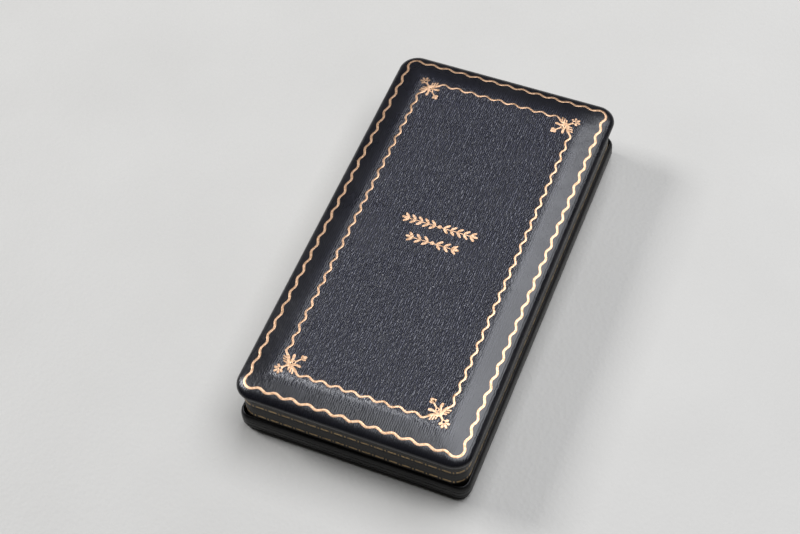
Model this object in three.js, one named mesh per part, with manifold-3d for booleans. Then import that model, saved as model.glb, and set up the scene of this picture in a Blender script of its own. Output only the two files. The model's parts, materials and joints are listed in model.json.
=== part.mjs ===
// A cased military service medal: a long leatherette-covered presentation case that
// closes over a velvet bed holding the medal, its ribbon bar and its lapel button.
// Millimetres, +Z up. X runs across the case, Y along it, and the origin is the middle
// of the underside. The hinge is along the -X side; the lid opens about its pin.
import * as THREE from "three";
import { mergeVertices } from "three/addons/utils/BufferGeometryUtils.js";
import Module from "manifold-3d";

const wasm = await Module();
wasm.setup();

// ---------- driving dimensions ----------
const caseWidth = 88; // widest outline of the lid, across X
const caseLength = 165; // widest outline of the lid, along Y
const caseHeight = 28; // closed, underside to the crown of the lid
const cornerRadius = 7.4; // plan radius of the lid's widest outline

const bottomBoardHeight = 2.9;
const bottomBoardInset = 0.9; // of its outline inside the lid's
const plinthTop = 8.9;
const plinthInset = 0.3;
const plinthRadius = 4.5; // plan radius of its outline, tighter than the lid's
const splitHeight = 16.2; // where the lid meets the base
const closingGap = 0.1; // between the two rims
const wallInset = 1.6; // how far the lid overhangs the walls
const wallThickness = 2.4;
const lidThickness = 5.4; // from the underside of the overhang to the crown
const lidEdgeHeight = 1.2; // from the underside of the overhang to the widest outline
const rollRun = 6.2; // how far in from the edge the rolled rim still curves
const marginOuter = 3.94; // inset where the sloping margin starts
const marginInner = 13.3; // inset where the flat crown starts
const marginDrop = 1.65; // from the crown to the margin's outer edge
const marginStep = 0.1; // small step down from that edge to the rolled rim

const gluedGap = 0.1; // between glued pieces that face each other
const slipGap = 0.3; // between pieces that move past each other or lift out

const frameThickness = 0.6; // sheet-metal rim frame
const frameLip = 1.4; // how far the frame stands up into the lid
const frameDepth = 3.6; // how far it reaches down inside the wall
const liningThickness = 1.2; // satin-covered card inside the lid wall
const padThickness = 2.5; // satin pad under the lid board
const padMargin = 0.5; // between the pad and the lining card

const hingeLength = 96;
const knuckleCount = 5;
const knuckleRadius = 1.3;
const knuckleGap = 0.3;
const pinRadius = 0.6;
const pinClearance = 0.12;
const hingeOutside = 0.3; // hinge axis outside the walls' outer face
const leafThickness = 0.6;
const leafMargin = 1; // of the lid wall left above its leaf
const rivetSpacing = 38;
const rivetHeadRadius = 1.1;
const rivetHeadHeight = 0.45;
const rivetShankRadius = 0.6;

const springSpacing = 58; // between the middles of the two snap springs
const springLength = 23;
const springThickness = 0.4;
const springHeight = 4.2;
const springDrop = 0.6; // of its top below the split
const springPocketDepth = 1.8; // of the bed's pocket below it
const toeLength = 7; // tab on the lid leaf that rides over each spring
const toeThickness = 0.6;
const toeReach = 3; // how far a toe hangs below the split

const bedTop = 13;
const bedThickness = 7;
const bedMargin = 0.9; // between the bed and the rim frame
const bedCornerRadius = 3;
const recessDepth = 2.6;
const riserWidth = 7;
const riserMargin = 9; // of the risers inside the bed's edge

const planchetFlats = 35; // across the octagon's flats
const planchetThickness = 2;
const planchetRimWidth = 1.5;
const planchetRimHeight = 0.5;
const starRadius = 8.5;
const starHeight = 0.7;
const planchetY = -44;
const eyeletRadius = 2;
const eyeletLength = 5;
const loopWire = 1.6; // square section of the suspension loop
const loopClearance = 0.4; // at each edge of the ribbon
const loopHeight = 8;
const ribbonWidth = 35;
const ribbonThickness = 0.8;
const ribbonDrop = 50; // from the loop's upper bar to the brooch's upper edge
const broochInset = 1; // of its plate inside each edge of the ribbon
const broochDepth = 7; // of its plate, along Y
const plateThickness = 0.8;
const pinStemRadius = 0.45;
const pinStemDrop = 1.6; // of the stem's axis under its plate

const barY = 50; // ribbon bar's middle
const barDepth = 9.5;
const lapelY = 65;
const lapelWidth = 17;
const lapelDepth = 4;
const lapelThickness = 1.4;
const lapelPostRadius = 0.9;
const lapelNutRadius = 4;
const lapelNutHeight = 2;
const lapelWeb = 1.6; // between the face and the nut, with the bed's card between

// ---------- what follows from them ----------
const lidUnderside = caseHeight - lidThickness;
const widest = lidUnderside + lidEdgeHeight; // height of the widest outline
const leafDepth = lidUnderside - splitHeight - leafMargin; // height of each leaf on its wall
const loopWidth = ribbonWidth + 2 * (loopWire + loopClearance);
const broochWidth = ribbonWidth - 2 * broochInset;
const barWidth = ribbonWidth;
const wallHalfWidth = caseWidth / 2 - wallInset;
const wallHalfLength = caseLength / 2 - wallInset;
const innerHalfWidth = wallHalfWidth - wallThickness;
const innerHalfLength = wallHalfLength - wallThickness;
const wallRadius = cornerRadius - wallInset;
const innerRadius = wallRadius - wallThickness;
const frameHalfWidth = innerHalfWidth - slipGap;
const frameHalfLength = innerHalfLength - slipGap;
const bedHalfWidth = frameHalfWidth - frameThickness - bedMargin;
const bedHalfLength = frameHalfLength - frameThickness - bedMargin;
const bedBottom = bedTop - bedThickness;
const recessFloor = bedTop - recessDepth;
const hingeX = -wallHalfWidth - hingeOutside;
const leafOuter = -innerHalfWidth + 0.05; // face of each leaf that lies on its wall
const leafInner = leafOuter + leafThickness;
const hingeClear = knuckleRadius + slipGap;
const springBottom = splitHeight - springDrop - springHeight;
const rivetLength = leafThickness + wallThickness - 0.8; // stops short of the wall's outer face
const loopZ = recessFloor + gluedGap + ribbonThickness + loopWire * 0.55 + 0.35;
const loopUpperY = planchetY + planchetFlats / 2 + eyeletRadius + loopHeight - loopWire;
const broochY = loopUpperY + ribbonDrop - broochDepth / 2;
const plateTop = bedTop - gluedGap;
const lapelBottom = plateTop - lapelThickness / 2;
const nutTop = lapelBottom - lapelWeb;
const nutHoleTop = nutTop + slipGap;

const material = (color, roughness, metalness = 0) =>
  new THREE.MeshStandardMaterial({ color, roughness, metalness });
const leatherette = material(0x14151b, 0.42);
const wallCloth = material(0x12120f, 0.35);
const board = material(0x9a8f78, 0.9);
const brass = material(0xb08d4a, 0.3, 1);
const steel = material(0xb9bcc0, 0.28, 1);
const velvet = material(0xc7a86a, 0.95);
const satin = material(0xe3d7b4, 0.4);
const bronze = material(0x7a5636, 0.38, 1);
const ribbonBlue = material(0x26356b, 0.7);
const enamel = material(0x24356e, 0.15);

// ---------- shapes ----------
const cornerSteps = 8; // curve divisions of a plan corner
const tooFar = 400;

// Rounded rectangle about the origin, or about (x, y).
function roundedRectangle(halfX, halfY, radius, x = 0, y = 0, Kind = THREE.Shape) {
  const r = Math.max(0.2, Math.min(radius, halfX - 0.01, halfY - 0.01));
  const outline = new Kind();
  outline.moveTo(x + halfX, y - halfY + r);
  outline.lineTo(x + halfX, y + halfY - r);
  outline.absarc(x + halfX - r, y + halfY - r, r, 0, Math.PI / 2);
  outline.lineTo(x - halfX + r, y + halfY);
  outline.absarc(x - halfX + r, y + halfY - r, r, Math.PI / 2, Math.PI);
  outline.lineTo(x - halfX, y - halfY + r);
  outline.absarc(x - halfX + r, y - halfY + r, r, Math.PI, 1.5 * Math.PI);
  outline.lineTo(x + halfX - r, y - halfY);
  outline.absarc(x + halfX - r, y - halfY + r, r, 1.5 * Math.PI, 2 * Math.PI);
  return outline;
}

// Outline extruded from one height to another.
function slab(outline, from, to, curveSegments = cornerSteps) {
  const options = { depth: to - from, bevelEnabled: false, curveSegments };
  return new THREE.ExtrudeGeometry(outline, options).translate(0, 0, from);
}

// Outline extruded with its edges rounded: size is the run outwards, rise the height of the curve.
function roundedSlab(outline, from, to, size, rise, steps, curveSegments = cornerSteps) {
  const options = {
    depth: to - from - 2 * rise,
    bevelSize: size,
    bevelThickness: rise,
    bevelSegments: steps,
    curveSegments,
  };
  return new THREE.ExtrudeGeometry(outline, options).translate(0, 0, from + rise);
}

function box(x0, x1, y0, y1, z0, z1) {
  const made = new THREE.BoxGeometry(x1 - x0, y1 - y0, z1 - z0);
  return made.translate((x0 + x1) / 2, (y0 + y1) / 2, (z0 + z1) / 2);
}

function rod(radius, length, sides, axis) {
  const made = new THREE.CylinderGeometry(radius, radius, length, sides);
  if (axis === "x") made.rotateZ(Math.PI / 2);
  if (axis === "z") made.rotateX(Math.PI / 2);
  return made;
}

// ---------- solids ----------
function solid(geometry) {
  const bare = (geometry.index ? geometry.toNonIndexed() : geometry).clone();
  bare.deleteAttribute("normal");
  bare.deleteAttribute("uv");
  const merged = mergeVertices(bare, 1e-4);
  const vertProperties = merged.attributes.position.array;
  const triVerts = new Uint32Array(merged.index.array);
  return new wasm.Manifold(new wasm.Mesh({ numProp: 3, vertProperties, triVerts }));
}

function geometryOf(made) {
  const mesh = made.getMesh();
  const positions = new THREE.BufferAttribute(new Float32Array(mesh.vertProperties), 3);
  const geometry = new THREE.BufferGeometry().setAttribute("position", positions);
  return geometry.setIndex(new THREE.BufferAttribute(new Uint32Array(mesh.triVerts), 1));
}

const cut = (from, ...tools) => tools.reduce((left, tool) => left.subtract(solid(tool)), from);
const join = (...pieces) => pieces.map(solid).reduce((all, piece) => all.add(piece));

const medalCase = new THREE.Group();
const lid = new THREE.Group();
medalCase.add(lid);

function place(group, name, shape, finish) {
  const geometry = shape.isBufferGeometry ? shape : geometryOf(shape);
  const mesh = new THREE.Mesh(geometry, finish);
  mesh.name = name;
  group.add(mesh);
  return mesh;
}

// ---------- base: boards and walls ----------
function rimRing(halfX, halfY, radius, thickness, from, to) {
  const outline = roundedRectangle(halfX, halfY, radius);
  const inner = [halfX - thickness, halfY - thickness, radius - thickness];
  outline.holes.push(roundedRectangle(...inner, 0, 0, THREE.Path));
  return slab(outline, from, to);
}

// Room for the hinge in a wall: round the knuckles, under the leaf's top, and for rivets.
function hingeNotch(side) {
  const knuckles = rod(hingeClear, hingeLength + 2 * slipGap, 24).translate(hingeX, 0, splitHeight);
  const near = splitHeight + side * -slipGap;
  const far = splitHeight + side * (leafThickness + 2 * closingGap);
  const reach = hingeLength / 2 + slipGap;
  const [low, high] = [Math.min(near, far), Math.max(near, far)];
  const leafSeat = box(-wallHalfWidth - 1, -innerHalfWidth + 1, -reach, reach, low, high);
  return [knuckles, leafSeat, ...rivetPlaces().map((y) => rivetHole(y, side))];
}

const rivetPlaces = () => [-rivetSpacing, 0, rivetSpacing];
const rivetZ = (side) => splitHeight + side * (leafDepth * 0.62);

function rivetHole(y, side) {
  const mouth = 0.4; // past the leaf's face, so that the cut is clean
  const length = mouth + rivetLength + slipGap;
  const hole = rod(rivetShankRadius + pinClearance, length, 12, "x");
  return hole.translate(leafInner + mouth - length / 2, y, rivetZ(side));
}

const bottomBoard = roundedSlab(
  roundedRectangle(
    caseWidth / 2 - bottomBoardInset - 0.8,
    caseLength / 2 - bottomBoardInset - 0.8,
    plinthRadius - (bottomBoardInset - plinthInset) - 0.8,
  ),
  0,
  bottomBoardHeight,
  0.8,
  0.8,
  3,
);
place(medalCase, "base_bottom_board", bottomBoard, leatherette);

const plinthEdge = wallInset - plinthInset; // width of its rounded shoulder
const plinthBlock = roundedSlab(
  roundedRectangle(wallHalfWidth, wallHalfLength, plinthRadius - plinthEdge),
  bottomBoardHeight - 1.4,
  plinthTop,
  plinthEdge,
  2.6,
  5,
);
const plinth = cut(
  solid(plinthBlock),
  box(-tooFar, tooFar, -tooFar, tooFar, -tooFar, bottomBoardHeight),
  slab(
    roundedRectangle(wallHalfWidth + gluedGap, wallHalfLength + gluedGap, wallRadius + gluedGap),
    0,
    plinthTop + 1,
  ),
);
place(medalCase, "base_plinth", plinth, leatherette);

const baseWall = cut(
  solid(
    rimRing(
      wallHalfWidth,
      wallHalfLength,
      wallRadius,
      wallThickness,
      bottomBoardHeight,
      splitHeight - closingGap / 2,
    ),
  ),
  ...hingeNotch(-1),
);
place(medalCase, "base_wall", baseWall, wallCloth);

// The rim frame stands up into the lid on three sides and makes way for the hinge on the fourth.
const baseFrame = cut(
  solid(
    rimRing(
      frameHalfWidth,
      frameHalfLength,
      innerRadius - slipGap,
      frameThickness,
      splitHeight - frameDepth,
      splitHeight + frameLip,
    ),
  ),
  box(
    -tooFar,
    -frameHalfWidth + innerRadius + slipGap,
    -tooFar,
    tooFar,
    splitHeight - closingGap,
    tooFar,
  ),
  box(
    -tooFar,
    -frameHalfWidth + frameThickness + slipGap,
    -hingeLength / 2 - 2 * slipGap,
    hingeLength / 2 + 2 * slipGap,
    -tooFar,
    tooFar,
  ),
);
place(medalCase, "base_rim_frame", baseFrame, brass);

// ---------- hinge ----------
const knuckleLength = hingeLength / knuckleCount;
const knuckleY = (i) => -hingeLength / 2 + knuckleLength * (i + 0.5);

// side -1 is the base's leaf and +1 the lid's: knuckles, a lap across the wall's edge and a plate.
function hingeLeaf(side) {
  const own = (i) => (i % 2 === 0) === side < 0;
  const near = splitHeight + side * closingGap;
  const far = near + side * leafThickness;
  const end = splitHeight + side * leafDepth;
  const [low, high] = [Math.min(near, far), Math.max(near, far)];
  const half = hingeLength / 2;
  const lap = box(hingeX, leafInner, -half, half, low, high);
  const plate = box(leafOuter, leafInner, -half, half, Math.min(near, end), Math.max(near, end));
  const indices = [...Array(knuckleCount).keys()];
  const barrel = (i) =>
    rod(knuckleRadius, knuckleLength - knuckleGap, 20).translate(hingeX, knuckleY(i), splitHeight);
  const clearance = (i) =>
    rod(hingeClear, knuckleLength + knuckleGap, 20).translate(hingeX, knuckleY(i), splitHeight);
  const others = indices.filter((i) => !own(i)).map(clearance);
  const ownBarrels = indices.filter(own).map(barrel);
  const sheet = cut(join(lap, plate), ...others);
  const whole = ownBarrels.reduce((leaf, tube) => leaf.add(solid(tube)), sheet);
  const bore = rod(pinRadius + pinClearance, hingeLength + 2, 16);
  const holes = rivetPlaces().map((y) => rivetHole(y, side));
  return cut(whole, bore.translate(hingeX, 0, splitHeight), ...holes);
}

place(medalCase, "base_hinge_leaf", hingeLeaf(-1), brass);

const hingePin = rod(pinRadius, hingeLength - knuckleGap, 16).translate(hingeX, 0, splitHeight);
place(medalCase, "hinge_pin", hingePin, steel);

// A toe hangs from the lid's leaf inside the base; opening the lid, it pushes past its spring.
const toeOuter = leafInner + slipGap;
const toeInner = toeOuter + toeThickness;
const toeReachRadius = Math.hypot(toeInner - hingeX, toeReach);
function toe(y) {
  const [from, to] = [y - toeLength / 2, y + toeLength / 2];
  const hang = box(toeOuter, toeInner, from, to, splitHeight - toeReach, splitHeight + 2.4);
  const neck = box(leafInner - 0.2, toeInner, from, to, splitHeight + 1.2, splitHeight + 2.4);
  return join(hang, neck);
}
const springPlaces = [-springSpacing / 2, springSpacing / 2];
const lidLeaf = springPlaces.reduce((leaf, y) => leaf.add(toe(y)), hingeLeaf(1));
place(lid, "lid_hinge_leaf", lidLeaf, brass);

// Bowed flat spring: its ends bear on the base's leaf, its middle stands in the toe's way.
function snapSpring(y) {
  const endX = leafInner + slipGap;
  const midX = hingeX + toeReachRadius + slipGap;
  const half = springLength / 2;
  const outline = new THREE.Shape();
  outline.moveTo(endX, y - half);
  outline.quadraticCurveTo(2 * midX - endX, y, endX, y + half);
  outline.lineTo(endX + springThickness, y + half);
  outline.quadraticCurveTo(2 * midX - endX + springThickness, y, endX + springThickness, y - half);
  return slab(outline, springBottom, springBottom + springHeight, 8);
}
place(medalCase, "snap_spring_lower", snapSpring(springPlaces[0]), steel);
place(medalCase, "snap_spring_upper", snapSpring(springPlaces[1]), steel);

function rivet(y, side) {
  const profile = [
    [0, -rivetLength],
    [rivetShankRadius, -rivetLength],
    [rivetShankRadius, 0.02],
    [rivetHeadRadius, 0.02],
    [rivetHeadRadius * 0.8, rivetHeadHeight * 0.75],
    [rivetHeadRadius * 0.4, rivetHeadHeight],
    [0, rivetHeadHeight + 0.04],
  ].map(([r, h]) => new THREE.Vector2(r, h));
  const made = new THREE.LatheGeometry(profile, 14).rotateZ(-Math.PI / 2);
  return made.translate(leafInner, y, rivetZ(side));
}
rivetPlaces().forEach((y, i) => {
  place(medalCase, `base_hinge_rivet_${i + 1}`, rivet(y, -1), brass);
  place(lid, `lid_hinge_rivet_${i + 1}`, rivet(y, 1), brass);
});

// ---------- lid ----------
const lidWall = cut(
  solid(
    rimRing(
      wallHalfWidth,
      wallHalfLength,
      wallRadius,
      wallThickness,
      splitHeight + closingGap / 2,
      lidUnderside,
    ),
  ),
  ...hingeNotch(1),
);
place(lid, "lid_wall", lidWall, wallCloth);

// The roll's curve is as high as it takes to come up to the step at the margin's outer edge.
const rollAtMargin = Math.sqrt(1 - (1 - marginOuter / rollRun) ** 2);
const rollHeight = (caseHeight - marginDrop - marginStep - widest) / rollAtMargin;
const lidRoll = roundedSlab(
  roundedRectangle(caseWidth / 2 - rollRun, caseLength / 2 - rollRun, cornerRadius - rollRun),
  widest - rollHeight,
  widest + rollHeight,
  rollRun,
  rollHeight,
  7,
);

// Crown in end view: the sloping margins and the flat top, extruded along Y.
function crown(halfWidth, length) {
  const foot = caseHeight - marginDrop - 1;
  const profile = new THREE.Shape();
  profile.moveTo(-halfWidth + marginOuter, foot);
  profile.lineTo(halfWidth - marginOuter, foot);
  profile.lineTo(halfWidth - marginOuter, caseHeight - marginDrop);
  profile.lineTo(halfWidth - marginInner, caseHeight);
  profile.lineTo(-halfWidth + marginInner, caseHeight);
  profile.lineTo(-halfWidth + marginOuter, caseHeight - marginDrop);
  const options = { depth: length, bevelEnabled: false };
  return new THREE.ExtrudeGeometry(profile, options).rotateX(Math.PI / 2).translate(0, length / 2, 0);
}
const marginOutline = roundedRectangle(
  caseWidth / 2 - marginOuter,
  caseLength / 2 - marginOuter,
  cornerRadius - marginOuter,
);
const lidCrown = solid(crown(caseWidth / 2, caseLength))
  .intersect(solid(crown(caseLength / 2, caseLength).rotateZ(Math.PI / 2)))
  .intersect(solid(slab(marginOutline, lidUnderside, caseHeight + 1)));
const belowLid = box(-tooFar, tooFar, -tooFar, tooFar, -tooFar, lidUnderside);
const lidBoard = cut(solid(lidRoll), belowLid).add(lidCrown);
place(lid, "lid_board", lidBoard, leatherette);

const liningBottom = splitHeight + frameLip + slipGap;
const lidLiningFrame = cut(
  solid(
    rimRing(
      frameHalfWidth,
      frameHalfLength,
      innerRadius - slipGap,
      liningThickness,
      liningBottom,
      lidUnderside - gluedGap,
    ),
  ),
  box(
    -tooFar,
    -frameHalfWidth + liningThickness + slipGap,
    -hingeLength / 2 - slipGap,
    hingeLength / 2 + slipGap,
    -tooFar,
    tooFar,
  ),
);
place(lid, "lid_lining_frame", lidLiningFrame, satin);

const padHalfWidth = frameHalfWidth - liningThickness - padMargin;
const padHalfLength = frameHalfLength - liningThickness - padMargin;
const padTop = lidUnderside - gluedGap;
const lidPad = roundedSlab(
  roundedRectangle(padHalfWidth - 0.9, padHalfLength - 0.9, innerRadius - slipGap - 0.9),
  padTop - padThickness,
  padTop,
  0.9,
  0.9,
  3,
);
place(lid, "lid_lining_pad", lidPad, satin);

// ---------- medal bed ----------
function octagon(flats, y) {
  const circumradius = flats / 2 / Math.cos(Math.PI / 8);
  const corners = [...Array(8).keys()].map((i) => {
    const angle = Math.PI / 8 + (i * Math.PI) / 4;
    return new THREE.Vector2(circumradius * Math.cos(angle), y + circumradius * Math.sin(angle));
  });
  return new THREE.Shape(corners);
}

function pocket(halfX, halfY, y, floor) {
  return slab(roundedRectangle(halfX, halfY, 1, 0, y), floor, bedTop + 1, 2);
}

const springPocket = (y) =>
  box(
    -tooFar,
    hingeX + toeReachRadius + 2 * slipGap + springThickness + 0.5,
    y - springLength / 2 - 1,
    y + springLength / 2 + 1,
    springBottom - springPocketDepth,
    tooFar,
  );
const eyeletY = planchetY + planchetFlats / 2 + eyeletRadius;
const loopMiddleY = (eyeletY + loopUpperY) / 2;
const bed = cut(
  solid(slab(roundedRectangle(bedHalfWidth, bedHalfLength, bedCornerRadius), bedBottom, bedTop)),
  slab(octagon(planchetFlats + 2 * slipGap, planchetY), recessFloor, bedTop + 1),
  pocket(loopWidth / 2 + slipGap, loopHeight / 2 + 1.6, loopMiddleY, recessFloor),
  pocket(broochWidth / 2 + slipGap, broochDepth / 2 + slipGap, broochY, bedBottom + 2.2),
  pocket(barWidth / 2 + slipGap, barDepth / 2 + slipGap, barY, bedBottom + 2.2),
  pocket(lapelWidth / 2 + slipGap, lapelDepth / 2 + slipGap, lapelY, lapelBottom - gluedGap),
  rod(lapelPostRadius + slipGap, 2 * bedThickness, 14, "z").translate(0, lapelY, bedTop),
  rod(lapelNutRadius + slipGap, 2 * bedThickness, 20, "z").translate(0, lapelY, nutHoleTop - bedThickness),
  ...springPlaces.map(springPocket),
);
place(medalCase, "medal_bed", bed, velvet);

for (const [name, sign] of [["left", -1], ["right", 1]]) {
  const middle = sign * (bedHalfWidth - riserMargin);
  const riser = box(
    middle - riserWidth / 2,
    middle + riserWidth / 2,
    -bedHalfLength + riserMargin,
    bedHalfLength - riserMargin,
    bottomBoardHeight,
    bedBottom - gluedGap,
  );
  place(medalCase, `bed_riser_${name}`, riser, board);
}

// ---------- medal ----------
function star(radius, y) {
  const points = [...Array(10).keys()].map((i) => {
    const r = i % 2 === 0 ? radius : radius * 0.382;
    const angle = Math.PI / 2 + (i * Math.PI) / 5;
    return new THREE.Vector2(r * Math.cos(angle), y + r * Math.sin(angle));
  });
  return new THREE.Shape(points);
}

const planchetBottom = recessFloor + gluedGap;
const planchetFace = planchetBottom + planchetThickness;
const planchetRim = octagon(planchetFlats, planchetY);
planchetRim.holes.push(octagon(planchetFlats - 2 * planchetRimWidth, planchetY));
const eyelet = rod(eyeletRadius, eyeletLength, 20, "x").translate(0, eyeletY, loopZ);
const neckDepth = eyeletRadius * 0.7;
const planchet = cut(
  join(
    slab(octagon(planchetFlats, planchetY), planchetBottom, planchetFace),
    slab(planchetRim, planchetFace - 0.1, planchetFace + planchetRimHeight),
    slab(star(starRadius, planchetY), planchetFace - 0.1, planchetFace + starHeight),
    box(
      -eyeletLength / 2,
      eyeletLength / 2,
      eyeletY - eyeletRadius - 1,
      eyeletY,
      loopZ - neckDepth,
      loopZ + neckDepth - 0.6,
    ),
    eyelet,
  ),
  rod(loopWire * 0.71 + slipGap, eyeletLength + 2, 16, "x").translate(0, eyeletY, loopZ),
);
place(medalCase, "medal_planchet", planchet, bronze);

const loopOutline = roundedRectangle(
  loopWidth / 2 - 0.3,
  loopHeight / 2 - 0.3,
  1.6,
  0,
  loopMiddleY,
);
loopOutline.holes.push(
  roundedRectangle(
    loopWidth / 2 - loopWire + 0.3,
    loopHeight / 2 - loopWire + 0.3,
    0.8,
    0,
    loopMiddleY,
    THREE.Path,
  ),
);
const loopSolid = roundedSlab(
  loopOutline,
  loopZ - loopWire / 2,
  loopZ + loopWire / 2,
  0.3,
  0.3,
  2,
  2,
);
place(medalCase, "suspension_loop", loopSolid, bronze);

// Doubled ribbon in side view, (Y, Z): a turn round the loop's upper bar, then the flat drape.
const ribbonInner = loopWire * 0.71 + 0.1;
const ribbonOuter = ribbonInner + ribbonThickness * 0.55;
const drapeTop = loopZ + ribbonOuter;
const drapeBottom = bedTop + gluedGap;
const barCentreY = loopMiddleY + loopHeight / 2 - loopWire / 2;
const turnStart = Math.asin((drapeBottom - loopZ) / ribbonOuter);
const ribbonSide = new THREE.Shape();
ribbonSide.absarc(barCentreY, loopZ, ribbonOuter, turnStart, Math.PI / 2, true);
ribbonSide.lineTo(barCentreY + ribbonDrop, drapeTop);
ribbonSide.lineTo(barCentreY + ribbonDrop, drapeBottom);
const ribbonOptions = { depth: ribbonWidth, bevelEnabled: false, curveSegments: 14 };
const ribbonBlock = new THREE.ExtrudeGeometry(ribbonSide, ribbonOptions);
const [alongY, alongZ, alongX] = [[0, 1, 0], [0, 0, 1], [1, 0, 0]].map((v) => new THREE.Vector3(...v));
ribbonBlock.applyMatrix4(new THREE.Matrix4().makeBasis(alongY, alongZ, alongX));
const ribbon = cut(
  solid(ribbonBlock.translate(-ribbonWidth / 2, 0, 0)),
  rod(ribbonInner, ribbonWidth + 2, 20, "x").translate(0, barCentreY, loopZ),
);
place(medalCase, "drape_ribbon", ribbon, ribbonBlue);

// Pin back of a brooch or ribbon bar, under a plate: hinge block, stem and hooked catch.
function pinBack(prefix, width, y, top) {
  const stemZ = top - plateThickness - pinStemDrop;
  const underPlate = top - plateThickness;
  const hingeMiddle = -width / 2 + 3.5;
  const catchMiddle = width / 2 - 3.5;
  const hingeBlock = cut(
    solid(box(hingeMiddle - 1.5, hingeMiddle + 1.5, y - 1.4, y + 1.4, stemZ - 1, underPlate)),
    rod(pinStemRadius + pinClearance, 8, 12, "x").translate(hingeMiddle, y, stemZ),
  );
  place(medalCase, `${prefix}_pin_hinge`, hingeBlock, brass);
  const reach = catchMiddle + 2.4 - hingeMiddle;
  const stem = rod(pinStemRadius, reach, 12, "x").translate(hingeMiddle + reach / 2, y, stemZ);
  place(medalCase, `${prefix}_pin_stem`, stem, steel);
  const hook = cut(
    solid(rod(1.25, 1.6, 20, "x").translate(catchMiddle, y, stemZ)).add(
      solid(box(catchMiddle - 0.8, catchMiddle + 0.8, y - 0.7, y + 0.7, stemZ + 0.8, underPlate)),
    ),
    rod(pinStemRadius + pinClearance, 8, 12, "x").translate(catchMiddle, y, stemZ),
    box(catchMiddle - 2, catchMiddle + 2, y - 3, y, stemZ - 0.4, stemZ + 0.4),
  );
  place(medalCase, `${prefix}_pin_catch`, hook, brass);
}

function backPlate(width, depth, y, top) {
  return slab(roundedRectangle(width / 2, depth / 2, 0.8, 0, y), top - plateThickness, top, 2);
}
place(medalCase, "brooch_plate", backPlate(broochWidth, broochDepth, broochY, plateTop), brass);
pinBack("brooch", broochWidth, broochY, plateTop);

// ---------- ribbon bar ----------
place(medalCase, "ribbon_bar_plate", backPlate(barWidth, barDepth, barY, plateTop), brass);
pinBack("ribbon_bar", barWidth, barY, plateTop);
const barCloth = roundedSlab(
  roundedRectangle(barWidth / 2 - 0.2, barDepth / 2 - 0.2, 0.4, 0, barY),
  plateTop + 0.05,
  plateTop + 0.05 + ribbonThickness,
  0.2,
  0.2,
  2,
  2,
);
place(medalCase, "ribbon_bar_cloth", barCloth, ribbonBlue);

// ---------- lapel button ----------
const lapelFace = roundedSlab(
  roundedRectangle(lapelWidth / 2 - 0.3, lapelDepth / 2 - 0.3, 0.5, 0, lapelY),
  lapelBottom,
  lapelBottom + lapelThickness,
  0.3,
  0.3,
  2,
  2,
);
place(medalCase, "lapel_button_face", lapelFace, enamel);
const postLength = 5.6;
const post = rod(lapelPostRadius, postLength, 14, "z");
post.translate(0, lapelY, lapelBottom - postLength / 2);
place(medalCase, "lapel_button_post", post, brass);
const nut = cut(
  solid(
    rod(lapelNutRadius, lapelNutHeight, 28, "z").translate(0, lapelY, nutTop - lapelNutHeight / 2),
  ),
  rod(lapelPostRadius + pinClearance, lapelNutHeight + 2, 14, "z").translate(
    0,
    lapelY,
    nutTop - lapelNutHeight / 2,
  ),
);
place(medalCase, "lapel_button_nut", nut, brass);

export default medalCase;
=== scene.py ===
# %% [markdown]
# # A cased service medal
# A presentation case is a shallow wooden box, covered in grained leatherette, whose padded lid
# closes over a velvet bed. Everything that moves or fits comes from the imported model; this lesson
# gives each piece the rounded edges, cloth, leather and metal that the real one has.

# %% Load the frame
import json
import math
import bmesh
import bpy
from mathutils import Matrix, Vector
from mathutils.bvhtree import BVHTree


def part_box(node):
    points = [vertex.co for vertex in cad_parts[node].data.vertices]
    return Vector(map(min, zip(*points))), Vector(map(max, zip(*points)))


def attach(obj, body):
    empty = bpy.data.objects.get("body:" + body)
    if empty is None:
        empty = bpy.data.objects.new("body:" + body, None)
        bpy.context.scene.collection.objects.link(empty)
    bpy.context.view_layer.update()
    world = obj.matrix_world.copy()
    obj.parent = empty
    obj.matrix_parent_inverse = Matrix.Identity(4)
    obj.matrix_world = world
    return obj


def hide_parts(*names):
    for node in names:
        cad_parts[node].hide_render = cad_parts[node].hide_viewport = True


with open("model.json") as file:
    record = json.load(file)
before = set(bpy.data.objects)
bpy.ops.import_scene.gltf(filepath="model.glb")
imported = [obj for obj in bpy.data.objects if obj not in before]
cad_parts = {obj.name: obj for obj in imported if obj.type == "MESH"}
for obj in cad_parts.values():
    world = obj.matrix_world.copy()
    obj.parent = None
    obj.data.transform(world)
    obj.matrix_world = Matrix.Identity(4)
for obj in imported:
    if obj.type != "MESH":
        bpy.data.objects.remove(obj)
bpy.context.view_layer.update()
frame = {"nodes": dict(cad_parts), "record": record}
MM = 0.001

# %% [markdown]
# The case is seen from its front right corner, from well above: a portrait lens on a small
# object, so its long sides stay almost parallel.

# %% Camera
camera_data = bpy.data.cameras.new("case_camera")
camera_data.lens = 72.2
camera_data.sensor_width = 36.0
camera_data.clip_start = 0.01
camera = bpy.data.objects.new("case_camera", camera_data)
bpy.context.scene.collection.objects.link(camera)
camera.location = (0.1354, -0.3062, 0.5050)
camera.rotation_euler = [math.radians(a) for a in (34.06, 2.76, 22.04)]
bpy.context.scene.camera = camera
bpy.context.scene.view_settings.view_transform = "Standard"

# %% [markdown]
# Colours are written as sRGB hex, as a swatch book gives them, and turned into the linear
# values that the shaders work in. One small function adds a node with its settings and links.


# %% Colour and node helpers
def linear(hex_colour):
    """sRGB hex to linear red, green, blue and alpha."""
    parts = [int(hex_colour[i : i + 2], 16) / 255 for i in (1, 3, 5)]
    return [p / 12.92 if p <= 0.04045 else ((p + 0.055) / 1.055) ** 2.4 for p in parts] + [1.0]


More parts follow.
